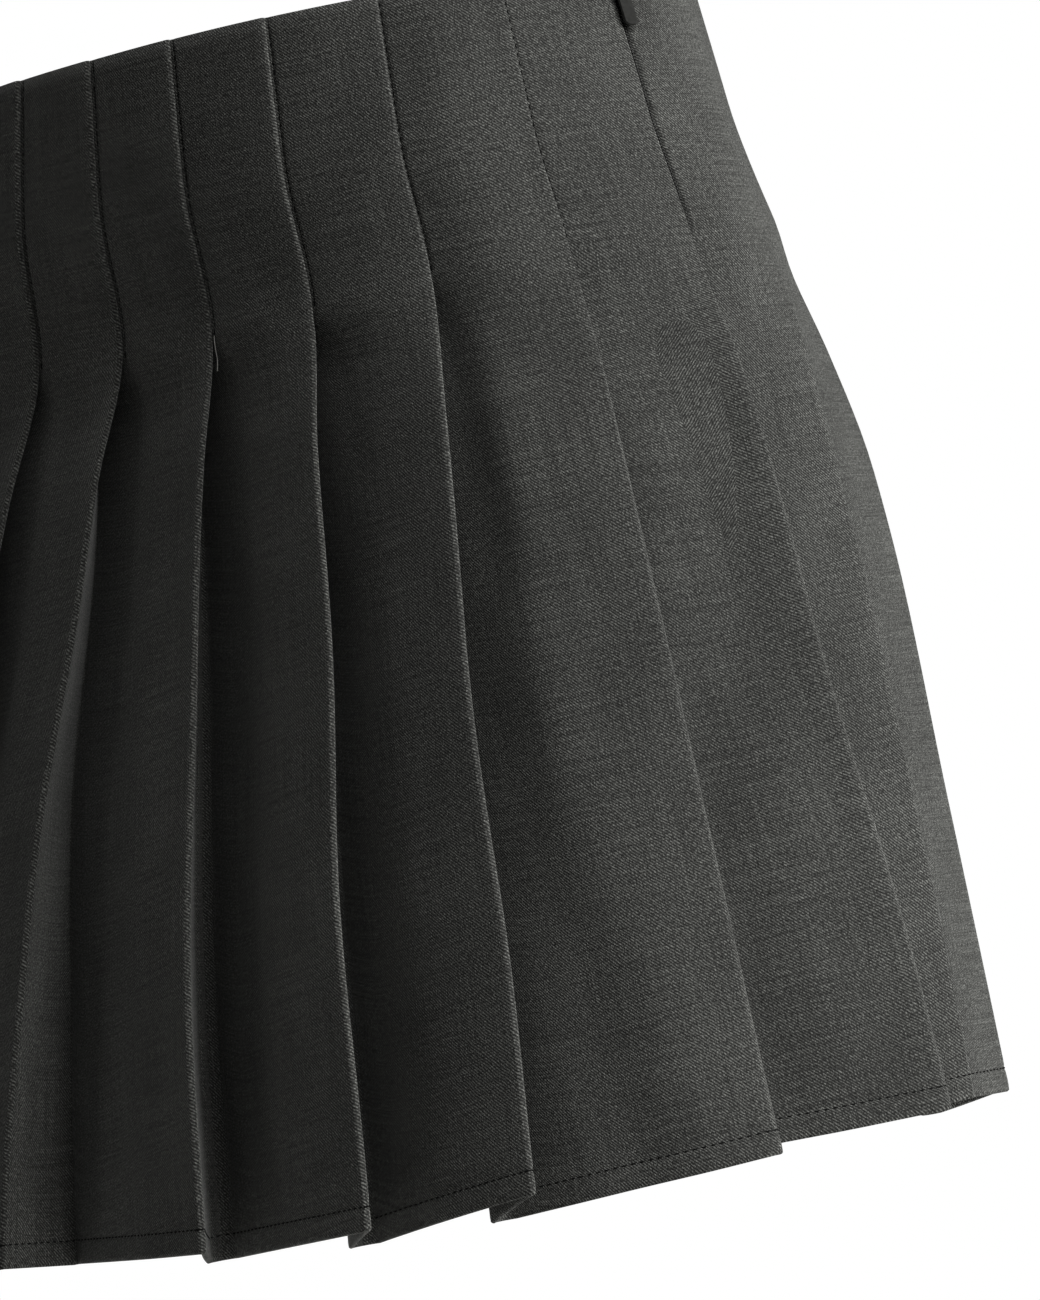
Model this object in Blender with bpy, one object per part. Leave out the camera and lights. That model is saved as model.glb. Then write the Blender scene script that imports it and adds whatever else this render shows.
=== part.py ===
"""Pleated mini skirt with a concealed side zip, filled out as if it were worn.

The middle of the waist ring is the origin, +Z is up, -Y is the wearer's front and +X the wearer's
left. Sizes are in millimetres, and angles in degrees, until a point is handed to Blender.

The skirt is one long cloth laid in twenty knife pleats. At any height below the waist, called the
drop, the outer folds of the pleats lie on a ring round the body. From its outer fold a pleat's
return runs inward and backward to the inner fold, and from there the underlay runs forward under
the outer fold and becomes the next face.
"""
import math

import bmesh
import bpy
import numpy as np
from mathutils import Matrix, Vector

MM = 0.001

# Cloth and pleats
PLEATS = 20
CLOTH = 1.0                 # wall thickness
LAYER = 1.4                 # middle to middle of two layers pressed on each other
RETURN_DEPTH = 30.0         # outer fold to inner fold
LENGTH = 372.0              # waist to hem, measured down
STITCHED = 88.0             # the pleats are stitched down this far below the waist
SEAM_GAP = 0.3              # between the two panels
SEAM_TAIL = 3.0             # how far the front and back cloth wraps round the fold to the seam
SIDE_FOLDS = (5, 15)        # the outer folds that hide the left and the right side seam
ZIP_FOLD = SIDE_FOLDS[0]

# Drops at which the cloth has a row of points, from the waist to the hem
ROWS = (0, 26, 52, 78, 90, 106, 130, 175, 235, 305, LENGTH)

# The ring at some drops: half its width, how far it goes to the front and to the back of its
# middle, how far that middle lies behind the waist's, how much the ring tilts down to the front,
# and how square its front and back corners are (2 is an ellipse)
SECTION_COLUMNS = ("drop", "half_width", "front", "back", "middle_y", "tilt",
                   "front_square", "back_square")
SECTIONS = (
    (0, 142, 96, 95, 0, 11.6, 2.35, 2.05),
    (45, 158, 95, 98, 3, 12.9, 2.55, 2.05),
    (STITCHED, 168, 94, 104, 12, 13.7, 2.80, 2.05),
    (130, 183, 104, 120, 13, 13.8, 2.90, 2.05),
    (200, 206, 119, 135, 15, 13.7, 2.83, 2.00),
    (280, 231, 133, 146, 14, 13.5, 2.75, 1.94),
    (LENGTH, 253, 143, 163, 14, 13.4, 2.70, 1.92),
)

# The outer folds, from the middle of the front round by the wearer's left. Down to the end of the
# stitching they are evenly spaced. The shift is how far a fold has moved on from there, in pleats,
# and the opening is the angle between the face and the return, both at the hip, the thigh and the
# hem. The hang is how far the hem is above its ring at the outer and at the inner fold.
FOLD_DROPS = (106, 200, 300, LENGTH)
FOLD_COLUMNS = ("hip_shift", "thigh_shift", "hem_shift", "hip_open", "thigh_open", "hem_open",
                "outer_hang", "inner_hang")
FOLDS = (
    (-0.03, -0.01, 0.01, 27, 44, 60, 0.5, -3.0),
    (0.17, 0.34, 0.47, 19, 23, 26, -3.0, -7.5),
    (0.20, 0.34, 0.44, 17, 19, 20, -3.5, -9.0),
    (0.08, 0.22, 0.28, 15, 18, 21, -0.5, -8.0),
    (0.17, 0.32, 0.43, 8, 10, 12, -2.0, 0.0),
    (0.10, 0.28, 0.38, 4, 5, 6, 1.0, 1.0),
    (-0.21, -0.21, -0.25, 5, 6, 8, 2.0, 3.0),
    (-0.28, -0.35, -0.40, 8, 10, 12, 0.0, -2.0),
    (-0.25, -0.35, -0.42, 12, 16, 18, -1.0, -3.0),
    (-0.20, -0.28, -0.35, 14, 20, 24, -1.5, -5.0),
    (-0.12, -0.20, -0.25, 18, 24, 28, -2.0, -6.0),
    (-0.05, -0.10, -0.15, 14, 18, 22, -1.0, -4.0),
    (0.00, -0.05, -0.10, 18, 22, 26, -2.0, -6.0),
    (0.00, -0.02, -0.05, 12, 16, 20, -1.0, -3.0),
    (0.00, 0.00, 0.00, 8, 12, 14, 0.0, -2.0),
    (0.03, 0.06, 0.08, 5, 8, 10, 1.0, 0.0),
    (0.05, 0.10, 0.12, 10, 14, 18, 0.0, -3.0),
    (0.02, 0.08, 0.10, 16, 20, 22, -1.5, -4.0),
    (-0.05, 0.00, 0.05, 20, 26, 30, -2.5, -5.0),
    (0.05, -0.04, -0.18, 16, 22, 26, -2.0, -4.0),
)

# Radius to which the cloth rolls over a fold: pressed flat at the top, soft towards the hem
ROLL_DROPS = (0, STITCHED, 200, LENGTH)
ROLL_RADII = (LAYER / 2, LAYER / 2, 1.8, 2.6)

# Concealed zip: its groove in the yoke, the chain in the groove, the slider and the pull tab
GROOVE_ROWS = (78, 90)      # the groove is whole down to the first row and gone at the second
GROOVE_NEAR = 2.3           # where the back cloth starts to rise, past the fold
GROOVE_FAR = 2.9            # where it has come up level with the front
GROOVE_LIP = -0.5
COIL_DROPS = (3.0, 76.0)
COIL_WIDTH = 0.8
COIL_DEPTH = 0.8
COIL_ARC = 1.2              # middle of the chain, past the fold
COIL_INWARD = 1.45
SLIDER_DROP = 8.0
SLIDER_ARC = 1.4
SLIDER_LIFT = 0.9           # underside of the slider, out from the folds
SLIDER_SIZE = (4.4, 7.0, 1.2)
BRIDGE_SIZE = (1.2, 4.0, 2.6)
WINDOW_SIZE = (2.6, 1.8)    # length and height of the opening under the bridge
PULL_SIZE = (4.8, 14.0, 0.8)
PULL_BAR = 0.7              # width of the bar that turns under the bridge
PULL_EYE = (2.4, 3.0)


def smooth_value(at, places, values):
    """Value at one place on a smooth curve through values, without overshoot."""
    x = np.asarray(places, float)
    y = np.asarray(values, float)
    step = np.diff(x)
    slope = np.diff(y) / step
    grade = np.zeros_like(y)
    for k in range(1, len(x) - 1):
        if slope[k - 1] * slope[k] > 0:
            near, far = 2 * step[k] + step[k - 1], step[k] + 2 * step[k - 1]
            grade[k] = (near + far) / (near / slope[k - 1] + far / slope[k])
    grade[0], grade[-1] = slope[0], slope[-1]
    if at <= x[0]:
        return float(y[0])
    k = min(int(np.searchsorted(x, at)) - 1, len(x) - 2)
    t = (at - x[k]) / step[k]
    return float((2 * t**3 - 3 * t**2 + 1) * y[k] + (t**3 - 2 * t**2 + t) * step[k] * grade[k]
                 + (3 * t**2 - 2 * t**3) * y[k + 1] + (t**3 - t**2) * step[k] * grade[k + 1])


class Ring:
    """The closed curve on which the outer folds lie at one drop."""

    QUARTER_POINTS = 240

    def __init__(self, drop):
        row = dict(zip(SECTION_COLUMNS[1:], (
            smooth_value(drop, [s[0] for s in SECTIONS], [s[k] for s in SECTIONS])
            for k in range(1, len(SECTION_COLUMNS)))))
        turn = np.linspace(0, math.pi / 2, self.QUARTER_POINTS)
        front_x = row["half_width"] * np.sin(turn) ** (2 / row["front_square"])
        front_y = -row["front"] * np.cos(turn) ** (2 / row["front_square"])
        back_x = row["half_width"] * np.cos(turn) ** (2 / row["back_square"])
        back_y = row["back"] * np.sin(turn) ** (2 / row["back_square"])
        left_x = np.concatenate((front_x, back_x[1:]))
        left_y = np.concatenate((front_y, back_y[1:]))
        self.x = np.concatenate((left_x, -left_x[-2::-1]))
        self.y = np.concatenate((left_y, left_y[-2::-1]))
        self.arc = np.concatenate(([0], np.cumsum(np.hypot(np.diff(self.x), np.diff(self.y)))))
        self.length = self.arc[-1]
        self.pitch = self.length / PLEATS
        self.drop = drop
        self.middle_y = row["middle_y"]
        self.slope = math.tan(math.radians(row["tilt"]))

    def outline(self, arc):
        arc = arc % self.length
        return np.interp(arc, self.arc, self.x), np.interp(arc, self.arc, self.y)

    def point(self, arc, out=0.0, rise=0.0):
        """A point at an arc length from the middle of the front, out from the ring and above it."""
        x, y = self.outline(arc)
        ahead, behind = self.outline(arc + 2), self.outline(arc - 2)
        along = Vector((ahead[0] - behind[0], ahead[1] - behind[1])).normalized()
        x, y = x + along.y * out, y - along.x * out
        return Vector((x, y + self.middle_y, self.slope * y - self.drop + rise))


class Pleats:
    """The pleats at one drop, as a path of (arc, out, hang) points in the ring's own measures."""

    SETTLING_ROUNDS = 6

    def __init__(self, drop):
        self.ring = Ring(drop)
        self.roll = smooth_value(drop, ROLL_DROPS, ROLL_RADII)
        fold = [dict(zip(FOLD_COLUMNS, row)) for row in FOLDS]
        names = ("hip", "thigh", "hem")
        shift = [smooth_value(drop, FOLD_DROPS, [0] + [f[n + "_shift"] for n in names]) for f in fold]
        opening = [smooth_value(drop, FOLD_DROPS, [0] + [f[n + "_open"] for n in names]) for f in fold]
        lowness = (drop / LENGTH) ** 2
        self.outer_hang = [f["outer_hang"] * lowness for f in fold]
        self.inner_hang = [f["inner_hang"] * lowness for f in fold]
        self.outer = [(k + shift[k]) * self.ring.pitch for k in range(PLEATS)]
        self.settle([math.radians(a) for a in opening])

    def settle(self, opening):
        """Find how steeply each face climbs and each return falls, which depend on each other."""
        self.climb = [math.atan(2 * LAYER / self.ring.pitch)] * PLEATS
        for _ in range(self.SETTLING_ROUNDS):
            self.fall = [self.climb[k] + opening[k] for k in range(PLEATS)]
            climb = []
            for k in range(PLEATS):
                inner, edge = self.inner_centre(k - 1), self.outer_centre(k)
                climb.append(math.atan2(edge[1] - inner[1] + 2 * self.roll, edge[0] - inner[0]))
            self.climb = climb

    def place(self, k):
        """Arc of an outer fold. Folds before the first and after the last go on round the ring."""
        return self.outer[k % PLEATS] + (k // PLEATS) * self.ring.length

    def outer_centre(self, k):
        return self.place(k) - self.roll, -self.roll

    def return_start(self, k):
        x, out = self.outer_centre(k)
        fall = self.fall[k % PLEATS]
        return x + self.roll * math.sin(fall), out - self.roll * math.cos(fall)

    def on_return(self, k, depth):
        x, out = self.return_start(k)
        fall = self.fall[k % PLEATS]
        return x - depth * math.cos(fall), out - depth * math.sin(fall)

    def inner_centre(self, k):
        x, out = self.on_return(k, RETURN_DEPTH)
        fall = self.fall[k % PLEATS]
        return x + self.roll * math.sin(fall), out - self.roll * math.cos(fall)

    def inner_bend(self, k, steps):
        """The cloth turns at the inner fold, from the return's way to the next face's climb."""
        x, out = self.inner_centre(k)
        start = math.pi + self.fall[k % PLEATS]
        end = 2 * math.pi + self.climb[(k + 1) % PLEATS]
        turns = np.linspace(start, end, steps)
        return [(x + self.roll * math.sin(a), out - self.roll * math.cos(a)) for a in turns]

    def outer_bend(self, k, steps):
        """The cloth turns over the outer fold, from the face's climb to the return's way."""
        x, out = self.outer_centre(k)
        turns = np.linspace(self.climb[k % PLEATS], self.fall[k % PLEATS] - math.pi, steps)
        return [(x - self.roll * math.sin(a), out + self.roll * math.cos(a)) for a in turns]

    def stretch(self, k):
        """From the return of fold k, round its inner fold and along the face to the next fold."""
        outer_hang, inner_hang = self.outer_hang[k % PLEATS], self.inner_hang[k % PLEATS]
        next_hang = self.outer_hang[(k + 1) % PLEATS]
        bend = self.inner_bend(k, 3)
        edge = self.outer_bend(k + 1, 4)
        path = [(*self.on_return(k, RETURN_DEPTH / 2), (outer_hang + inner_hang) / 2)]
        path += [(*p, inner_hang) for p in bend]

        (x0, out0), (x1, out1) = bend[-1], edge[0]
        overlap = max(x1 - self.inner_centre(k + 1)[0], 4 * self.roll)
        under = self.place(k)
        covered = x1 - overlap
        places = [(x0 + under) / 2, under, under + (covered - under) / 3,
                  under + (covered - under) * 2 / 3, covered, x1 - overlap / 2]
        groove = self.groove_depth(k)
        if groove:
            places[1:3] = [under + GROOVE_NEAR * groove, under + GROOVE_FAR * groove]
        for n, x in enumerate(places):
            t = (x - x0) / (x1 - x0)
            out = out0 + (out1 - out0) * t
            if groove and n >= 2:
                lip = GROOVE_LIP * (x1 - x) / (x1 - places[2])
                out += (lip - out) * groove
            path.append((x, out, inner_hang + (next_hang - inner_hang) * t))
        path += [(*p, next_hang) for p in edge]
        return path

    def groove_depth(self, k):
        """1 along the zip's groove and 0 below it, at the fold that has the zip."""
        if k != ZIP_FOLD:
            return 0.0
        return float(np.interp(self.ring.drop, GROOVE_ROWS, (1.0, 0.0)))

    def panel(self, first, last):
        """The path of one panel, from the return of its first fold to the turn of its last."""
        start = (*self.on_return(first, SEAM_TAIL + SEAM_GAP), self.outer_hang[first % PLEATS])
        end = (*self.on_return(last, SEAM_TAIL), self.outer_hang[last % PLEATS])
        path = [start]
        for k in range(first, last):
            path += self.stretch(k)
        return path + [end]


def material(name, colour, roughness, metallic=0.0):
    made = bpy.data.materials.new(name)
    made.use_nodes = True
    shader = made.node_tree.nodes["Principled BSDF"]
    shader.inputs["Base Color"].default_value = (*colour, 1.0)
    shader.inputs["Roughness"].default_value = roughness
    shader.inputs["Metallic"].default_value = metallic
    return made


def add_object(name, mesh, finish):
    mesh.materials.append(finish)
    made = bpy.data.objects.new(name, mesh)
    bpy.context.scene.collection.objects.link(made)
    return made


def grid_mesh(name, rows):
    """A sheet through rows of points, its faces turned away from the body."""
    mesh = bpy.data.meshes.new(name)
    width = len(rows[0])
    points = [tuple(p * MM) for row in rows for p in row]
    faces = []
    for r in range(len(rows) - 1):
        for c in range(width - 1):
            here = r * width + c
            faces.append((here, here + width, here + width + 1, here + 1))
    mesh.from_pydata(points, [], faces)
    mesh.update()
    return mesh


def cloth_panel(name, first, last, finish):
    """A panel of pleated cloth, hung from the waist to the hem and given its thickness."""
    rows = []
    for drop in ROWS:
        pleats = Pleats(drop)
        rows.append([pleats.ring.point(arc, out, hang) for arc, out, hang in pleats.panel(first, last)])
    made = add_object(name, grid_mesh(name, rows), finish)
    wall = made.modifiers.new("wall", "SOLIDIFY")
    wall.thickness = CLOTH * MM
    wall.offset = 0.0
    made.data.shade_smooth()
    return made


def beside_zip(drop, arc, out):
    """A place past the zip's fold, measured from the cloth, which is straight between its rows."""
    lower = next(row for row in ROWS[1:] if row > drop)
    upper = ROWS[ROWS.index(lower) - 1]
    ends = []
    for row in (upper, lower):
        pleats = Pleats(row)
        ends.append(pleats.ring.point(pleats.place(ZIP_FOLD) + arc, out))
    return ends[0].lerp(ends[1], (drop - upper) / (lower - upper))


def zip_frame(drop, arc, out):
    """A place on the yoke beside the zip: X along the ring, Y up the cloth and Z away from it."""
    origin = beside_zip(drop, arc, out)
    up = (origin - beside_zip(drop + 1, arc, out)).normalized()
    along = (beside_zip(drop, arc + 1, out) - beside_zip(drop, arc - 1, out)).normalized()
    away = along.cross(up).normalized()
    frame = Matrix((up.cross(away), up, away)).transposed().to_4x4()
    frame.translation = origin * MM
    return frame


def zip_coil(finish):
    """The closed chain, a flat bar that follows the groove."""
    mesh = bpy.data.meshes.new("zip_coil")
    built = bmesh.new()
    half_width, half_depth = COIL_WIDTH / 2 * MM, COIL_DEPTH / 2 * MM
    corners = ((-half_width, -half_depth), (half_width, -half_depth),
               (half_width, half_depth), (-half_width, half_depth))
    rings = []
    top, bottom = COIL_DROPS
    for drop in [top] + [row for row in ROWS if top < row < bottom] + [bottom]:
        frame = zip_frame(drop, COIL_ARC, -COIL_INWARD)
        rings.append([built.verts.new(frame @ Vector((x, 0, z))) for x, z in corners])
    for upper, lower in zip(rings, rings[1:]):
        for c in range(4):
            built.faces.new((upper[c], lower[c], lower[(c + 1) % 4], upper[(c + 1) % 4]))
    built.faces.new(rings[0])
    built.faces.new(list(reversed(rings[-1])))
    bmesh.ops.recalc_face_normals(built, faces=built.faces)
    built.to_mesh(mesh)
    built.free()
    return add_object("zip_coil", mesh, finish)


def box_mesh(name, low, high):
    """A block between two corners."""
    mesh = bpy.data.meshes.new(name)
    built = bmesh.new()
    bmesh.ops.create_cube(built, size=1.0)
    low, high = Vector(low) * MM, Vector(high) * MM
    for v in built.verts:
        v.co = Vector(low[a] if v.co[a] < 0 else high[a] for a in range(3))
    built.to_mesh(mesh)
    built.free()
    return mesh


def combine(target, other, operation):
    """Add another block to an object, or cut it out, and keep that block as a hidden guide."""
    guide = bpy.data.objects.new(other.name, other)
    bpy.context.scene.collection.objects.link(guide)
    guide.parent = target
    guide.hide_render = True
    guide.display_type = "WIRE"
    step = target.modifiers.new(other.name, "BOOLEAN")
    step.operation = operation
    step.object = guide


def soften(target, width):
    """Break the sharp edges of a metal piece."""
    edge = target.modifiers.new("edges", "BEVEL")
    edge.width = width * MM
    edge.segments = 2
    edge.limit_method = "ANGLE"


def zip_slider(finish, frame):
    """The slider: a flat body with a bridge across its middle for the pull tab."""
    width, length, height = SLIDER_SIZE
    bridge_width, bridge_length, bridge_height = BRIDGE_SIZE
    window_length, window_height = WINDOW_SIZE
    body = box_mesh("zip_slider", (-width / 2, -length / 2, 0), (width / 2, length / 2, height))
    made = add_object("zip_slider", body, finish)
    made.matrix_world = frame
    soften(made, 0.35)
    bridge = box_mesh("bridge", (-bridge_width / 2, -bridge_length / 2, height / 2),
                      (bridge_width / 2, bridge_length / 2, height + bridge_height))
    combine(made, bridge, "UNION")
    window = box_mesh("window", (-bridge_width, -window_length / 2, height),
                      (bridge_width, window_length / 2, height + window_height))
    combine(made, window, "DIFFERENCE")
    return made


def zip_pull(finish, frame):
    """The pull tab. Its origin is the middle of the bar that turns under the bridge."""
    width, length, thickness = PULL_SIZE
    eye_width, eye_reach = PULL_EYE
    top = PULL_BAR / 2
    plate = box_mesh("zip_pull", (-width / 2, top - length, -thickness / 2),
                     (width / 2, top, thickness / 2))
    made = add_object("zip_pull", plate, finish)
    pivot = Matrix.Translation((0, 0, (SLIDER_SIZE[2] + WINDOW_SIZE[1] / 2) * MM))
    made.matrix_world = frame @ pivot
    round_off = made.modifiers.new("rounded corners", "BEVEL")
    round_off.width = width * 0.3 * MM
    round_off.segments = 4
    round_off.limit_method = "WEIGHT"
    weights = made.data.attributes.new("bevel_weight_edge", "FLOAT", "EDGE")
    for edge in made.data.edges:
        a, b = (made.data.vertices[v].co for v in edge.vertices)
        across_plate = abs(a.z - b.z) > thickness / 2 * MM
        weights.data[edge.index].value = 1.0 if across_plate and a.y < 0 else 0.0
    eye = box_mesh("eye", (-eye_width / 2, -eye_reach, -thickness), (eye_width / 2, -top, thickness))
    combine(made, eye, "DIFFERENCE")
    return made


def clear_scene():
    for old in list(bpy.data.objects):
        bpy.data.objects.remove(old, do_unlink=True)


def build():
    clear_scene()
    wool = material("charcoal_wool_twill", (0.030, 0.030, 0.028), 0.85)
    nylon = material("black_nylon_coil", (0.012, 0.012, 0.012), 0.5)
    enamel = material("charcoal_enamelled_zinc", (0.035, 0.035, 0.035), 0.4, 0.6)
    left, right = SIDE_FOLDS
    cloth_panel("back_panel", left, right, wool)
    cloth_panel("front_panel", right, left + PLEATS, wool)
    zip_coil(nylon)
    frame = zip_frame(SLIDER_DROP, SLIDER_ARC, SLIDER_LIFT)
    zip_slider(enamel, frame)
    zip_pull(enamel, frame)
    bpy.context.view_layer.update()


build()
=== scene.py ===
"""A charcoal pleated mini skirt, filled out as if it were worn, in a plain light studio.

Sizes are in millimetres and angles in degrees until a point is handed to Blender. The middle of
the waist ring is the origin, +Z is up, -Y is the wearer's front and +X the wearer's left. A drop
is a distance below the waist edge.
"""

import math

import bpy
import numpy as np
from mathutils import Matrix, Vector


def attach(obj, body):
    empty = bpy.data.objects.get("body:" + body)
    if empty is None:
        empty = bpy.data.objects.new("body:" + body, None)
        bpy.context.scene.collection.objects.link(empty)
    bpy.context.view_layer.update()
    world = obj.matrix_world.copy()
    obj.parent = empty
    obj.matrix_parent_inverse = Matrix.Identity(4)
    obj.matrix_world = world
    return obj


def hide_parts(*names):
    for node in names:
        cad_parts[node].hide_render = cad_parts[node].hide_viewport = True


MM = 0.001

# ---------------------------------------------------------------- the cut and the folds

PLEATS = 20
CLOTH = 0.8                 # thickness of the twill
LAYER = 1.1                 # middle to middle of two layers pressed on each other
RETURN_DEPTH = 30.0         # outer fold to inner fold
LENGTH = 372.0              # waist to hem
STITCHED = 88.0             # the pleats are stitched down this far
SEAM_GAP = 0.3              # between the front and the back panel
SEAM_TAIL = 3.0             # how far a panel's edge lies behind the fold that hides the seam
SIDE_FOLDS = (5, 15)        # the outer folds that hide the left and the right side seam
ZIP_FOLD = SIDE_FOLDS[0]

# The ring of outer folds at some drops: half its width, how far it goes to the front and to the
# back of its middle, how far that middle lies behind the waist's, how much it tilts down to the
# front, and how square its corners are (2 is an ellipse)
SECTION_COLUMNS = ("drop", "half_width", "front", "back", "middle_y", "tilt",
                   "front_square", "back_square")
SECTIONS = (
    (0, 142, 96, 95, 0, 11.6, 2.35, 2.05),
    (45, 158, 95, 98, 3, 12.9, 2.55, 2.05),
    (STITCHED, 168, 94, 104, 12, 13.7, 2.80, 2.05),
    (130, 183, 104, 120, 13, 13.8, 2.90, 2.05),
    (200, 206, 119, 135, 15, 13.7, 2.83, 2.00),
    (280, 231, 133, 146, 14, 13.5, 2.75, 1.94),
    (LENGTH, 253, 143, 163, 14, 13.4, 2.70, 1.92),
)

# The outer folds, from the middle of the front round by the wearer's left: how far each has moved
# on, in pleats, and the angle between its face and its return, at the hip, the thigh and the hem,
# and how far the hem is above its ring at the outer and at the inner fold
FOLD_DROPS = (200, 300, LENGTH)
FOLD_COLUMNS = ("hip_shift", "thigh_shift", "hem_shift", "hip_open", "thigh_open", "hem_open",
                "outer_hang", "inner_hang")
FOLDS = (
    (-0.03, 0.01, 0.07, 31, 50, 66, 0.5, -3.0),
    (0.17, 0.34, 0.47, 24, 27, 28, -3.0, -7.5),
    (0.20, 0.34, 0.44, 22, 23, 23, -3.5, -9.0),
    (0.08, 0.22, 0.28, 20, 22, 23, -0.5, -8.0),
    (0.17, 0.32, 0.43, 9, 13, 17, -2.0, 0.0),
    (0.10, 0.28, 0.38, 4, 5, 6, 1.0, 1.0),
    (-0.21, -0.21, -0.25, 5, 6, 8, 2.0, 3.0),
    (-0.28, -0.35, -0.40, 8, 10, 12, 0.0, -2.0),
    (-0.25, -0.35, -0.42, 12, 16, 18, -1.0, -3.0),
    (-0.20, -0.28, -0.35, 14, 20, 24, -1.5, -5.0),
    (-0.12, -0.20, -0.25, 18, 24, 28, -2.0, -6.0),
    (-0.05, -0.10, -0.15, 14, 18, 22, -1.0, -4.0),
    (0.00, -0.05, -0.10, 18, 22, 26, -2.0, -6.0),
    (0.00, -0.02, -0.05, 12, 16, 20, -1.0, -3.0),
    (0.00, 0.00, 0.00, 8, 12, 14, 0.0, -2.0),
    (0.03, 0.06, 0.08, 5, 8, 10, 1.0, 0.0),
    (0.05, 0.10, 0.12, 10, 14, 18, 0.0, -3.0),
    (0.02, 0.08, 0.10, 16, 20, 22, -1.5, -4.0),
    (-0.05, 0.00, 0.05, 20, 26, 30, -2.5, -5.0),
    (0.05, -0.04, -0.18, 16, 22, 26, -2.0, -4.0),
)

# How much lower than STITCHED each pleat's stitching ends
STITCH_ENDS = (4, 3, 1, -3, -4, 6, 2, -2, 0, 3, -1, 2, 0, -3, 1, 4, 0, -2, 2, 1)
# Below its stitching a pleat opens fast: how far below, and the share of its width at the hip
OPENING_STEPS = ((0, 0.0), (12, 0.45), (45, 0.85))

# Between the ends of the stitching the cloth puffs out: how far, how much lower than the ends, over
# what half height, and from where on across the face
PUFF = 1.3
PUFF_BELOW = 3.0
PUFF_REACH = 13.0
PUFF_FROM = 0.38

# Outer folds that stand out from the ring as soft ridges: the fold, where the ridge starts, and
# how far it stands out over the thigh and at the hem
RIDGE_RISE = 50.0           # a ridge takes this much of the drop to rise
RIDGE_LEAN = 0.5            # and leans back from its fold by this share of its height
RIDGE_DROPS = (200, LENGTH)
RIDGE_COLUMNS = ("fold", "top", "thigh", "hem")
RIDGES = (
    (3, 96, 1.0, 1.0),
    (5, 84, 8.0, 7.5),
    (7, 120, 2.0, 1.0),
    (9, 110, 2.5, 2.0),
    (12, 100, 3.0, 2.0),
    (15, 88, 3.8, 1.5),
    (18, 110, 1.5, 1.5),
)

# Radius to which the cloth rolls over a fold. Sharp folds keep only a share of what it gains
# below the stitching, and their inner folds take up the rest, apart from one that is sharp too
ROLL_DROPS = (0, STITCHED, 200, LENGTH)
ROLL_RADII = (LAYER / 2, LAYER / 2, 1.8, 2.6)
SHARP_FOLDS = (18, 19, 0, 1, 2, 3)
SHARP_SHARE = 0.15
SHARP_INNER_FOLD = 0

# Points along the cloth of one pleat
RETURN_POINTS = 5
BEND_POINTS = 7
FACE_POINTS = 24
UNDER_POINTS = 5            # those of a face that lie under the return
ROW_STEP = 7.0              # between rows of points down the cloth
FIRST_ROWS_STEP = 5.0       # over the stitched part and where it ends
FIRST_ROWS_PAST = 32.0      # how far below the stitching these rows go
PLEAT_CLOTH = 130.0         # cloth from fold to fold, on the map of the flat cloth

# The hem: a narrow turning to the inside, held by one row of stitches
HEM_TURNING = 9.0
HEM_STITCHES = 7.0          # above the hem's edge
HEM_DENT = 0.34             # how deep the stitches draw in
TURN_OFFSET = 0.95          # middle of the cloth to the middle of its turning
TURN_ANGLES = (-60, -25, 0, 25, 60)
# Rows of points: how far below the stitches or above the edge they are, and how far to the inside
STITCH_ROWS = ((-3.2, 0.0), (-1.1, 0.05), (0.0, HEM_DENT), (1.1, 0.03))
EDGE_ROWS = ((3.0, -0.08), (1.2, 0.0))
TURNING_ROWS = (1.2, 3.0, HEM_STITCHES, HEM_TURNING)

# Stitches: bars of thread, which lie on the cloth at the hem and in a ditch beside each fold
THREAD = 0.55
STITCH_LENGTH = 2.35
STITCH_PITCH = 2.8
STITCH_DIP = 0.7            # how far a stitch's ends dip into the cloth, in threads
HEM_LIFT = 0.1              # its middle above the cloth, in threads
DITCH_LIFT = 0.2
FIRST_STITCH = 3.0          # below the waist edge
DITCH = 0.85                # from a fold to the ditch beside it
DITCH_DEPTH = 0.40
DITCH_REACH = 0.40
DITCH_FADE = 5.0            # it fades out over this much above the end of the stitching
DITCH_PLACES = (-0.5, 0.35, DITCH, 2 * DITCH - 0.35, 2.4)     # points of the face, past its fold

# The loose thread below one fold's stitching: how far below its end, past the fold and above the
# cloth it goes
TAIL_FOLD = 1
TAIL_THICKNESS = 0.38
TAIL = ((-0.5, 0.9, 0.3), (3.5, 0.8, 1.6), (7.5, 0.9, 3.0), (11.0, 0.6, 4.3))

# Zip: the groove past its fold, its closed chain, and the tape on which that is woven
GROOVE_ROWS = (78, 90)      # the drops over which the groove ends
GROOVE_NEAR = 2.05          # from the fold to the foot and to the top of the groove's far side
GROOVE_FAR = 2.45
GROOVE_LIP = -0.35          # the far side's top against the ring of folds
GROOVE_PLACES = (0.6, 1.5, GROOVE_NEAR - 0.2, GROOVE_NEAR + 0.1, GROOVE_FAR - 0.1,
                 GROOVE_FAR + 0.25, GROOVE_FAR + 1.1)
COIL_DROPS = (3.0, 76.0)
COIL_PITCH = 1.05
COIL_SIZE = (0.75, 0.6, 0.7)
COIL_ROUNDING = 0.2
COIL_ARC = 1.4              # from the fold to the middle of the coil
COIL_INWARD = 0.85          # and how far in from the ring of folds that is
TAPE_SIZE = (2.0, 1.15, 0.2)
TAPE_ROUNDING = 0.05
TAPE_INWARD = 1.5


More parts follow.
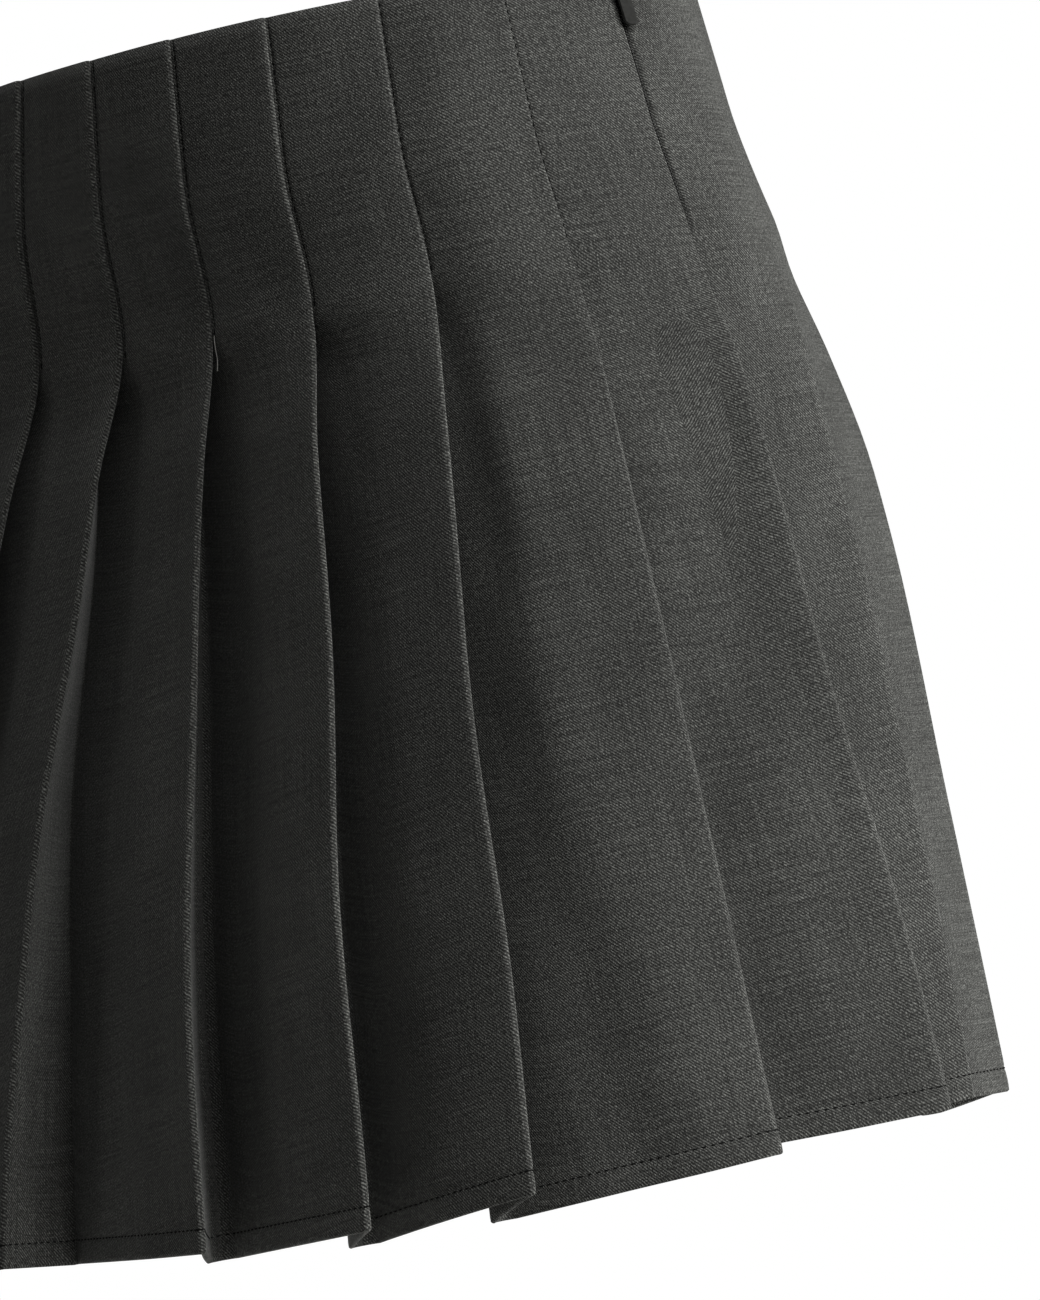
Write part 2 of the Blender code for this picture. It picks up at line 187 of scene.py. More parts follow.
def smooth_value(at, places, values):
    """Value at one place on a smooth curve through values, without overshoot."""
    x = np.asarray(places, float)
    y = np.asarray(values, float)
    step = np.diff(x)
    slope = np.diff(y) / step
    grade = np.zeros_like(y)
    for k in range(1, len(x) - 1):
        if slope[k - 1] * slope[k] > 0:
            near, far = 2 * step[k] + step[k - 1], step[k] + 2 * step[k - 1]
            grade[k] = (near + far) / (near / slope[k - 1] + far / slope[k])
    grade[0], grade[-1] = slope[0], slope[-1]
    if at <= x[0]:
        return float(y[0])
    k = min(int(np.searchsorted(x, at)) - 1, len(x) - 2)
    t = (at - x[k]) / step[k]
    return float((2 * t**3 - 3 * t**2 + 1) * y[k] + (t**3 - 2 * t**2 + t) * step[k] * grade[k]
                 + (3 * t**2 - 2 * t**3) * y[k + 1] + (t**3 - t**2) * step[k] * grade[k + 1])


class Ring:
    """The closed curve on which the outer folds lie at one drop."""

    QUARTER_POINTS = 400

    def __init__(self, drop):
        row = dict(zip(SECTION_COLUMNS[1:], (
            smooth_value(drop, [s[0] for s in SECTIONS], [s[k] for s in SECTIONS])
            for k in range(1, len(SECTION_COLUMNS)))))
        turn = np.linspace(0, math.pi / 2, self.QUARTER_POINTS)
        front_x = row["half_width"] * np.sin(turn) ** (2 / row["front_square"])
        front_y = -row["front"] * np.cos(turn) ** (2 / row["front_square"])
        back_x = row["half_width"] * np.cos(turn) ** (2 / row["back_square"])
        back_y = row["back"] * np.sin(turn) ** (2 / row["back_square"])
        left_x = np.concatenate((front_x, back_x[1:]))
        left_y = np.concatenate((front_y, back_y[1:]))
        self.x = np.concatenate((left_x, -left_x[-2::-1]))
        self.y = np.concatenate((left_y, left_y[-2::-1]))
        self.arc = np.concatenate(([0], np.cumsum(np.hypot(np.diff(self.x), np.diff(self.y)))))
        self.length = self.arc[-1]
        self.pitch = self.length / PLEATS
        self.drop = drop
        self.middle_y = row["middle_y"]
        self.slope = math.tan(math.radians(row["tilt"]))

    def outline(self, arc):
        arc = np.asarray(arc) % self.length
        return np.interp(arc, self.arc, self.x), np.interp(arc, self.arc, self.y)

    def points(self, arc, out, hang):
        """Points at arc lengths from the middle of the front, out from the ring and above it."""
        arc, out, hang = (np.asarray(v, float) for v in (arc, out, hang))
        x, y = self.outline(arc)
        ahead_x, ahead_y = self.outline(arc + 3)
        behind_x, behind_y = self.outline(arc - 3)
        along_x, along_y = ahead_x - behind_x, ahead_y - behind_y
        size = np.hypot(along_x, along_y)
        x, y = x + along_y / size * out, y - along_x / size * out
        return np.stack((x, y + self.middle_y, self.slope * y - self.drop + hang), axis=-1)


# Soft creases and swells of the faces: the fold on whose right the face begins, how
# far across the face, the drops where it starts and ends, its half width, how much it stands out
# (or in, below zero) and how far it leans across the face on its way down
CREASE_FADE = 0.3           # share of its length over which a crease fades in and out
FACE_FADE = 0.15            # and share of the face's width over which all of them do
CREASE_COLUMNS = ("fold", "across", "top", "bottom", "half_width", "height", "lean")
CREASES = (
    (3, 0.70, -80, 125, 14, 3.0, -3),
    (4, 0.42, -80, 84, 14, 1.8, 0),
    (4, 0.50, 96, 230, 13, 1.8, 0),
    (19, 0.55, 110, 400, 14, 0.9, 3),
    (0, 0.60, 110, 400, 15, 0.9, 4),
    (1, 0.62, 120, 400, 15, 0.9, 4),
    (2, 0.46, 90, 150, 9, -0.9, 4),
    (2, 0.66, 150, 400, 16, 0.9, 3),
    (3, 0.39, 86, 200, 10, -2.2, 4),
    (3, 0.52, 70, 330, 13, 2.6, 6),
    (3, 0.52, 250, 420, 14, -1.8, 10),
    (3, 0.76, 220, 420, 15, 1.2, 6),
    (4, 0.43, 84, 132, 8, -1.9, 4),
    (4, 0.82, 100, 270, 10, -1.9, -22),
    (4, 0.43, 190, 480, 14, -4.5, -14),
    (4, 0.66, 200, 480, 14, 1.8, -4),
    (5, 0.56, 95, 360, 14, -1.8, 2),
    (6, 0.60, 130, 400, 15, 0.9, -5),
    (7, 0.48, 110, 300, 13, -0.9, 6),
    (8, 0.62, 150, 400, 15, 1.1, 4),
    (9, 0.42, 92, 240, 11, -1.8, 7),
    (9, 0.70, 190, 410, 15, 1.2, 3),
    (10, 0.60, 120, 400, 15, 1.0, 5),
    (11, 0.42, 92, 210, 10, -2.0, 8),
    (11, 0.80, 120, 250, 10, -1.2, 3),
    (12, 0.60, 140, 400, 16, 1.2, -4),
    (13, 0.48, 110, 330, 13, -0.9, 6),
    (14, 0.62, 150, 400, 16, 0.9, 4),
    (14, 0.86, 105, 230, 9, -1.2, 2),
    (15, 0.44, 95, 260, 12, -1.5, 8),
    (16, 0.64, 160, 400, 15, 1.1, -5),
    (17, 0.42, 92, 220, 10, -1.6, 9),
    (18, 0.62, 130, 400, 16, 1.1, 4),
)

# How a fold wavers on its way down: millimetres along the ring, the drop of one full wave, and
# where a wave starts
WAVER_BELOW = 60.0          # in full from this far below the stitching
WAVER_COLUMNS = ("reach", "wave", "start")
WAVERS = (
    (0.9, 118, 20), (0.5, 140, 60), (0.5, 150, 10), (0.6, 165, 90), (0.5, 190, 40),
    (0.5, 170, 120), (0.4, 150, 30), (0.7, 160, 80), (0.6, 130, 0), (0.8, 145, 50),
    (0.6, 170, 100), (0.7, 120, 30), (0.5, 155, 70), (0.8, 140, 110), (0.5, 165, 20),
    (0.6, 180, 60), (0.7, 135, 90), (0.5, 150, 40), (0.8, 125, 10), (0.6, 145, 70),
)


def eased(t):
    """0 before 0, 1 after 1, and a smooth step between."""
    t = np.clip(t, 0.0, 1.0)
    return t * t * (3 - 2 * t)


class Pleats:
    """The pleats at one drop, as a path of (arc, out, hang) points in the ring's own measures."""

    SETTLING_ROUNDS = 6

    def __init__(self, drop):
        self.ring = Ring(drop)
        self.drop = drop
        roll, pressed = smooth_value(drop, ROLL_DROPS, ROLL_RADII), LAYER / 2
        share = [SHARP_SHARE if k in SHARP_FOLDS else 1.0 for k in range(PLEATS)]
        self.roll = [pressed + (roll - pressed) * s for s in share]
        self.inner_roll = [r if k == SHARP_INNER_FOLD else 2 * roll - r for k, r in enumerate(self.roll)]
        fold = [dict(zip(FOLD_COLUMNS, row)) for row in FOLDS]
        names = ("hip", "thigh", "hem")
        ends = [STITCHED + end for end in STITCH_ENDS]
        shift = [smooth_value(drop, (end, *FOLD_DROPS), [0] + [f[n + "_shift"] for n in names])
                 for end, f in zip(ends, fold)]
        opening = [self.opened(k, f) for k, f in enumerate(fold)]
        self.stand = [self.ridge(k) for k in range(PLEATS)]
        lowness = (drop / LENGTH) ** 2
        self.outer_hang = [f["outer_hang"] * lowness for f in fold]
        self.inner_hang = [f["inner_hang"] * lowness for f in fold]
        self.outer = [(k + shift[k]) * self.ring.pitch + self.waver(k) for k in range(PLEATS)]
        self.settle([math.radians(a) for a in opening])

    def waver(self, k):
        row = dict(zip(WAVER_COLUMNS, WAVERS[k]))
        free = float(eased((self.drop - STITCHED) / WAVER_BELOW))
        wave = math.sin(2 * math.pi * (self.drop - row["start"]) / row["wave"])
        return row["reach"] * free * wave - RIDGE_LEAN * self.ridge(k)

    def opened(self, k, fold):
        """The angle between the face and the return of a pleat at this drop."""
        end = STITCHED + STITCH_ENDS[k]
        places = [end + below for below, _ in OPENING_STEPS] + list(FOLD_DROPS)
        angles = [fold["hip_open"] * share for _, share in OPENING_STEPS]
        angles += [fold["hip_open"], fold["thigh_open"], fold["hem_open"]]
        return smooth_value(self.drop, places, angles)

    def ridge(self, k):
        for row in RIDGES:
            ridge = dict(zip(RIDGE_COLUMNS, row))
            if ridge["fold"] == k:
                height = smooth_value(self.drop, RIDGE_DROPS, (ridge["thigh"], ridge["hem"]))
                return height * float(eased((self.drop - ridge["top"]) / RIDGE_RISE))
        return 0.0

    def settle(self, opening):
        """Find how steeply each face climbs and each return falls, which depend on each other."""
        self.climb = [math.atan(2 * LAYER / self.ring.pitch)] * PLEATS
        for _ in range(self.SETTLING_ROUNDS):
            self.fall = [self.climb[k] + opening[k] for k in range(PLEATS)]
            climb = []
            for k in range(PLEATS):
                inner, edge = self.inner_centre(k - 1), self.outer_centre(k)
                rolls = self.inner_roll[k - 1] + self.roll[k]
                climb.append(math.atan2(edge[1] - inner[1] + rolls, edge[0] - inner[0]))
            self.climb = climb

    def place(self, k):
        """Arc of an outer fold. Folds before the first and after the last go on round the ring."""
        return self.outer[k % PLEATS] + (k // PLEATS) * self.ring.length

    def outer_centre(self, k):
        roll = self.roll[k % PLEATS]
        return self.place(k) - roll, self.stand[k % PLEATS] - roll

    def return_start(self, k):
        x, out = self.outer_centre(k)
        fall, roll = self.fall[k % PLEATS], self.roll[k % PLEATS]
        return x + roll * math.sin(fall), out - roll * math.cos(fall)

    def on_return(self, k, depth):
        x, out = self.return_start(k)
        fall = self.fall[k % PLEATS]
        return x - depth * math.cos(fall), out - depth * math.sin(fall)

    def inner_centre(self, k):
        x, out = self.on_return(k, RETURN_DEPTH)
        fall, roll = self.fall[k % PLEATS], self.inner_roll[k % PLEATS]
        return x + roll * math.sin(fall), out - roll * math.cos(fall)

    def inner_bend(self, k):
        """The cloth turns at the inner fold, from the return's way to the next face's climb."""
        x, out = self.inner_centre(k)
        roll = self.inner_roll[k % PLEATS]
        start = math.pi + self.fall[k % PLEATS]
        end = 2 * math.pi + self.climb[(k + 1) % PLEATS]
        turns = np.linspace(start, end, BEND_POINTS)
        return [(x + roll * math.sin(a), out - roll * math.cos(a)) for a in turns]

    def outer_bend(self, k):
        """The cloth turns over the outer fold, from the face's climb to the return's way."""
        x, out = self.outer_centre(k)
        roll = self.roll[k % PLEATS]
        turns = np.linspace(self.climb[k % PLEATS], self.fall[k % PLEATS] - math.pi, BEND_POINTS)
        return [(x - roll * math.sin(a), out + roll * math.cos(a)) for a in turns]

    def face_places(self, k, start, end):
        """Where the points of a face lie. They crowd past its first fold, for the ditch of the
        stitches or the zip's groove."""
        crowd = self.place(k) + np.array(GROOVE_PLACES if k == ZIP_FOLD else DITCH_PLACES)
        under = np.linspace(start, crowd[0], UNDER_POINTS + 2)[1:-1]
        beyond = np.linspace(crowd[-1], end, FACE_POINTS - len(under) - len(crowd) + 2)
        return np.concatenate((under, crowd, beyond[1:-1]))

    def groove(self, k, places, out, end):
        """Sink the cloth beside the zip's fold, with a steep side up to the level of the front."""
        if k != ZIP_FOLD:
            return out
        whole = float(np.interp(self.drop, GROOVE_ROWS, (1.0, 0.0)))
        near, far = self.place(k) + GROOVE_NEAR, self.place(k) + GROOVE_FAR
        lip = GROOVE_LIP * (end - places) / (end - far)
        rise = eased((places - near) / (far - near)) * whole
        return out + (lip - out) * rise

    def creases(self, k, across, width):
        """How far the soft creases lift each point of the face past fold k."""
        lift = np.zeros_like(across)
        for row in CREASES:
            crease = dict(zip(CREASE_COLUMNS, row))
            if crease["fold"] != k % PLEATS:
                continue
            span = crease["bottom"] - crease["top"]
            down = (self.drop - crease["top"]) / span
            strength = float(eased(down / CREASE_FADE) * eased((1 - down) / CREASE_FADE))
            middle = crease["across"] * width + crease["lean"] * (down - 0.5)
            aside = (across * width - middle) / crease["half_width"]
            lift += crease["height"] * strength * np.exp(-aside ** 2)
        lift = lift * eased(across / FACE_FADE) * eased((1 - across) / FACE_FADE)
        return lift + self.puff(k, across) + self.ridge_flanks(k, across)

    def ridge_flanks(self, k, across):
        """A face sweeps up to the ridge at its end, and falls fast from the one at its start."""
        end, start = self.stand[(k + 1) % PLEATS], self.stand[k % PLEATS]
        return end * (across**4 - across) + start * ((1 - across)**1.6 - (1 - across))

    def puff(self, k, across):
        """The cloth puffs out a little between the ends of two rows of stitching."""
        seen = np.clip((across - PUFF_FROM) / (1 - PUFF_FROM), 0, 1)
        at = STITCHED + (STITCH_ENDS[k % PLEATS] + STITCH_ENDS[(k + 1) % PLEATS]) / 2 + PUFF_BELOW
        return PUFF * math.exp(-((self.drop - at) / PUFF_REACH) ** 2) * np.sin(math.pi * seen)

    def stretch(self, k):
        """From the return of fold k, round its inner fold and along the face to the next fold."""
        outer_hang, inner_hang = self.outer_hang[k % PLEATS], self.inner_hang[k % PLEATS]
        next_hang = self.outer_hang[(k + 1) % PLEATS]
        bend, edge = self.inner_bend(k), self.outer_bend(k + 1)
        path = []
        for depth in np.linspace(0, RETURN_DEPTH, RETURN_POINTS + 2)[1:-1]:
            hang = outer_hang + (inner_hang - outer_hang) * depth / RETURN_DEPTH
            path.append((*self.on_return(k, depth), hang))
        path += [(*p, inner_hang) for p in bend]
        x0, x1 = bend[-1][0], edge[0][0]
        places = self.face_places(k, x0, x1)
        across = (places - x0) / (x1 - x0)
        out = self.face_out(k, places)
        path += list(zip(places, out, inner_hang + (next_hang - inner_hang) * across))
        path += [(*p, next_hang) for p in edge]
        return path

    def drawn_in(self, k, places):
        """How deep the stitches beside fold k draw the cloth in."""
        above = STITCHED + STITCH_ENDS[k % PLEATS] - self.drop
        depth = DITCH_DEPTH * float(eased(above / DITCH_FADE)) * (k != ZIP_FOLD)
        return depth * np.exp(-((places - self.place(k) - DITCH) / DITCH_REACH) ** 2)

    def face_out(self, k, places):
        """How far out from the ring the face past fold k lies at some places."""
        (x0, out0), (x1, out1) = self.inner_bend(k)[-1], self.outer_bend(k + 1)[0]
        across = (places - x0) / (x1 - x0)
        out = self.groove(k, places, out0 + (out1 - out0) * across, x1)
        return out + self.creases(k, across, x1 - x0) - self.drawn_in(k, places)

    def beside_fold(self, k, aside, above):
        """A point past fold k, above the outside of the cloth there, and one straight out from it."""
        at = self.place(k) + aside
        out = self.face_out(k, np.array([at]))[0] + CLOTH / 2 + above
        return [Vector(self.ring.points([at], [out + r], [0.0])[0]) for r in (0, 1)]

    def panel(self, first, last):
        """The path of one panel, from the return of its first fold to the turn of its last."""
        path = [(*self.on_return(first, SEAM_TAIL + SEAM_GAP), self.outer_hang[first % PLEATS])]
        for k in range(first, last):
            path += self.stretch(k)
        path.append((*self.on_return(last, SEAM_TAIL), self.outer_hang[last % PLEATS]))
        return np.array(path)


def flat_places(path, first, last):
    """Each point's place along the flat cloth. It is true on the faces and on the returns, and the
    cloth that a pleat takes up less at the waist than at the hem is lost at its inner fold."""
    step = np.concatenate(([0], np.cumsum(np.hypot(np.diff(path[:, 0]), np.diff(path[:, 1])))))
    per_pleat = RETURN_POINTS + BEND_POINTS + FACE_POINTS + BEND_POINTS
    flat = np.zeros(len(path))
    for n in range(last - first):
        begin = 1 + n * per_pleat
        middle = begin + RETURN_POINTS + BEND_POINTS // 2
        end = begin + per_pleat
        edge = step[end - BEND_POINTS // 2 - 1]
        before = step[begin - BEND_POINTS // 2 - 1] if n else step[0] - SEAM_TAIL
        flat[begin:middle] = (first + n) * PLEAT_CLOTH + step[begin:middle] - before
        flat[middle:end] = (first + n + 1) * PLEAT_CLOTH + step[middle:end] - edge
    flat[0] = flat[1] - (step[1] - step[0])
    flat[-1] = flat[-2] + (step[-1] - step[-2])
    return flat


def wrong_side(path, inset):
    """The path moved to the cloth's wrong side, which lies to the right of its way."""
    ahead = np.roll(path[:, :2], -1, axis=0)
    behind = np.roll(path[:, :2], 1, axis=0)
    ahead[-1], behind[0] = path[-1, :2], path[0, :2]
    way = ahead - behind
    way /= np.linalg.norm(way, axis=1)[:, None]
    moved = path.copy()
    moved[:, 0] += way[:, 1] * inset
    moved[:, 1] -= way[:, 0] * inset
    return moved


def cloth_rows():
    """Each row's drop and how far it lies to the wrong side, down to the hem and up its turning."""
    first = np.arange(0, STITCHED + FIRST_ROWS_PAST, FIRST_ROWS_STEP)
    rest = np.arange(first[-1] + ROW_STEP, LENGTH - HEM_TURNING - 4, ROW_STEP)
    rows = [(float(d), 0.0) for d in (*first, *rest)]
    rows += [(LENGTH - HEM_STITCHES + below, inset) for below, inset in STITCH_ROWS]
    rows += [(LENGTH - above, inset) for above, inset in EDGE_ROWS]
    half = TURN_OFFSET / 2
    for turn in TURN_ANGLES:
        angle = math.radians(turn)
        rows.append((LENGTH - half * (1 - math.cos(angle)), half * (1 + math.sin(angle))))
    return rows + [(LENGTH - above, TURN_OFFSET) for above in TURNING_ROWS]


def make_object(name, mesh, *finishes):
    for finish in finishes:
        mesh.materials.append(finish)
    made = bpy.data.objects.new(name, mesh)
    bpy.context.scene.collection.objects.link(made)
    return made


def cloth_panel(name, first, last, finish):
    """One panel of pleated cloth with its hem turned up, and a UV map in metres of flat cloth."""
    rows, flats = [], []
    for drop, inset in cloth_rows():
        pleats = Pleats(drop)
        path = pleats.panel(first, last)
        flats.append(flat_places(path, first, last))
        path = wrong_side(path, inset)
        rows.append(pleats.ring.points(path[:, 0], path[:, 1], path[:, 2]))
    rows, flats = np.array(rows), np.array(flats)
    down = np.concatenate((np.zeros((1, rows.shape[1])),
                           np.cumsum(np.linalg.norm(np.diff(rows, axis=0), axis=2), axis=0)))
    count, width = rows.shape[:2]
    mesh = bpy.data.meshes.new(name)
    faces = [(r * width + c, (r + 1) * width + c, (r + 1) * width + c + 1, r * width + c + 1)
             for r in range(count - 1) for c in range(width - 1)]
    mesh.from_pydata((rows.reshape(-1, 3) * MM).tolist(), [], faces)
    flat_map = mesh.uv_layers.new(name="flat_cloth")
    corner = np.empty(len(mesh.loops), dtype=np.int32)
    mesh.loops.foreach_get("vertex_index", corner)
    places = np.stack((flats.reshape(-1), -down.reshape(-1)), axis=-1)[corner] * MM
    flat_map.data.foreach_set("uv", places.astype(np.float32).reshape(-1))
    mesh.update()
    mesh.shade_smooth()
    made = make_object(name, mesh, finish)
    wall = made.modifiers.new("cloth thickness", "SOLIDIFY")
    wall.thickness = CLOTH * MM
    wall.offset = 0.0
    select_only(made)
    bpy.ops.object.modifier_apply(modifier=wall.name)
    return made


def select_only(made):
    bpy.ops.object.select_all(action="DESELECT")
    made.select_set(True)
    bpy.context.view_layer.objects.active = made


# ---------------------------------------------------------------- sewing and zip

def one_stitch(finish):
    """A stitch as it lies on the cloth: a short bar of thread with round shoulders."""
    bpy.ops.object.select_all(action="DESELECT")
    bpy.ops.mesh.primitive_cylinder_add(vertices=6, radius=THREAD / 2 * MM,
                                        depth=STITCH_LENGTH * MM, rotation=(0, math.pi / 2, 0))
    made = bpy.context.active_object
    bpy.ops.object.transform_apply(rotation=True)
    bpy.ops.object.mode_set(mode="EDIT")
    bpy.ops.mesh.select_all(action="SELECT")
    bpy.ops.mesh.subdivide(number_cuts=1)
    bpy.ops.object.mode_set(mode="OBJECT")
    half = STITCH_LENGTH / 2 * MM
    for v in made.data.vertices:
        v.co.z -= THREAD * STITCH_DIP * MM * (v.co.x / half) ** 2
    made.data.materials.append(finish)
    return made


def repeated(name, pattern, frames):
    """Copies of one small piece, each placed by its frame and all joined in one mesh."""
    source = pattern.data
    co = np.empty(len(source.vertices) * 3)
    source.vertices.foreach_get("co", co)
    co = co.reshape(-1, 3)
    polygons = [tuple(p.vertices) for p in source.polygons]
    places, faces = [], []
    for n, frame_at in enumerate(frames):
        turn = np.array(frame_at)
        places.append(co @ turn[:3, :3].T + turn[:3, 3])
        faces += [tuple(v + n * len(co) for v in p) for p in polygons]
    mesh = bpy.data.meshes.new(name)
    mesh.from_pydata(np.concatenate(places).tolist(), [], faces)
    mesh.update()
    mesh.shade_smooth()
    made = make_object(name, mesh, *source.materials)
    bpy.data.objects.remove(pattern, do_unlink=True)
    return made


def on_seam(place, along, out):
    """A frame at a place, with its X along the seam and its Z out of the cloth."""
    across = out.cross(along).normalized()
    turn = Matrix((along, across, along.cross(across))).transposed().to_4x4()
    turn.translation = place * MM
    return turn


def hem_stitch_frames(first, last):
    """Where the stitches of the hem lie: on the outside of the cloth, all along its path."""
    drop = LENGTH - HEM_STITCHES
    pleats = Pleats(drop)
    path = wrong_side(pleats.panel(first, last), HEM_DENT - CLOTH / 2 - THREAD * HEM_LIFT)
    line = pleats.ring.points(path[:, 0], path[:, 1], path[:, 2])
    outer = wrong_side(path, -1.0)
    outer_line = pleats.ring.points(outer[:, 0], outer[:, 1], outer[:, 2])
    run = np.concatenate(([0], np.cumsum(np.linalg.norm(np.diff(line, axis=0), axis=1))))
    frames = []
    for at in np.arange(STITCH_PITCH, run[-1] - STITCH_PITCH, STITCH_PITCH):
        here, away, next_ = (Vector([np.interp(place, run, points[:, a]) for a in range(3)])
                             for place, points in ((at, line), (at, outer_line), (at + 0.5, line)))
        frames.append(on_seam(here, (next_ - here).normalized(), (away - here).normalized()))
    return frames


def pleat_stitch_frames(first, last):
    """Where the stitches lie that hold each pleat down, in the ditch beside its fold."""
    frames = []
    for drop in np.arange(FIRST_STITCH, STITCHED + max(STITCH_ENDS), STITCH_PITCH):
        here, below = Pleats(float(drop)), Pleats(float(drop) + 1.0)
        for k in range(first, last):
            top = GROOVE_ROWS[1] if k == ZIP_FOLD else 0.0
            if not top <= drop < STITCHED + STITCH_ENDS[k % PLEATS]:
                continue
            place, lower = (p.beside_fold(k, DITCH, THREAD * DITCH_LIFT) for p in (here, below))
            along = (lower[0] - place[0]).normalized()
            frames.append(on_seam(place[0], along, (place[1] - place[0]).normalized()))
    return frames


def loose_thread(finish):
    """The end of the sewing thread, which curls out below the last stitch of one fold."""
    tail = bpy.data.curves.new("loose_thread", "CURVE")
    tail.dimensions = "3D"
    tail.bevel_depth = TAIL_THICKNESS / 2 * MM
    tail.bevel_resolution = 2
    tail.resolution_u = 6
    spline = tail.splines.new("BEZIER")
    spline.bezier_points.add(len(TAIL) - 1)
    for point, (below, aside, above) in zip(spline.bezier_points, TAIL):
        pleats = Pleats(STITCHED + STITCH_ENDS[TAIL_FOLD] + below)
        point.co = pleats.beside_fold(TAIL_FOLD, aside, above)[0] * MM
        point.handle_left_type = point.handle_right_type = "AUTO"
    made = make_object("loose_thread", tail, finish)
    select_only(made)
    bpy.ops.object.convert(target="MESH")
    return made


def beside_zip(drop, arc, out):
    """A place past the zip's fold and out from the ring of folds."""
    pleats = Pleats(drop)
    return Vector(pleats.ring.points([pleats.place(ZIP_FOLD) + arc], [out], [0.0])[0])


def zip_link(size, edge, finish):
    """A small block with rounded edges: one turn of the coil, or a length of its tape."""
    bpy.ops.object.select_all(action="DESELECT")
    bpy.ops.mesh.primitive_cube_add(size=1.0)
    made = bpy.context.active_object
    made.scale = [s * MM for s in size]
    bpy.ops.object.transform_apply(scale=True)
    bpy.ops.object.mode_set(mode="EDIT")
    bpy.ops.mesh.select_all(action="SELECT")
    bpy.ops.mesh.bevel(offset=edge * MM, segments=2, affect="EDGES")
    bpy.ops.object.mode_set(mode="OBJECT")
    made.data.materials.append(finish)
    return made


def zip_frames(inward):
    """A row of places down the groove, each turned with its side to the cloth's outside."""
    frames = []
    for drop in np.arange(COIL_DROPS[0] + 0.5, COIL_DROPS[1], COIL_PITCH):
        here, higher = (beside_zip(float(d), COIL_ARC, -inward) for d in (drop, drop - 1))
        up = (higher - here).normalized()
        aside = (beside_zip(float(drop), COIL_ARC + 1, -inward) - here).normalized()
        away = aside.cross(up).normalized()
        place = Matrix((up.cross(away), up, away)).transposed().to_4x4()
        place.translation = here * MM
        frames.append(place)
    return frames


def zip_chain(coil_finish, tape_painted_shade_finish):
    """The closed coil and the tape on which it is woven, which shows on both sides of it."""
    link = zip_link(COIL_SIZE, COIL_ROUNDING, coil_finish)
    turns = repeated("zip_coil_turns", link, zip_frames(COIL_INWARD))
    # The tape takes the near-black thread finish: painted shade for the dark lines down the zip's groove
    stretch = zip_link(TAPE_SIZE, TAPE_ROUNDING, tape_painted_shade_finish)
    tape = repeated("zip_tape", stretch, zip_frames(TAPE_INWARD))
    select_only(turns)
    tape.select_set(True)
    bpy.ops.object.join()
    return turns


# ---------------------------------------------------------------- finishes

def linear(colour):
    """An sRGB hex colour as linear red, green, blue and full alpha."""
    parts = [int(colour[n:n + 2], 16) / 255 for n in (1, 3, 5)]
    return [p / 12.92 if p <= 0.04045 else ((p + 0.055) / 1.055) ** 2.4 for p in parts] + [1.0]


def node(tree, kind, settings=None, links=None, values=None):
    """Add a node: its settings, the sockets that feed its inputs, and its inputs' own values."""
    made = tree.nodes.new(kind)
    for key, value in (settings or {}).items():
        setattr(made, key, value)
    for key, value in (values or {}).items():
        made.inputs[key].default_value = value
    for key, source in (links or {}).items():
        tree.links.new(source, made.inputs[key])
    return made


def blank_material(name):
    made = bpy.data.materials.new(name)
    made.use_nodes = True
    return made, made.node_tree, made.node_tree.nodes["Principled BSDF"]


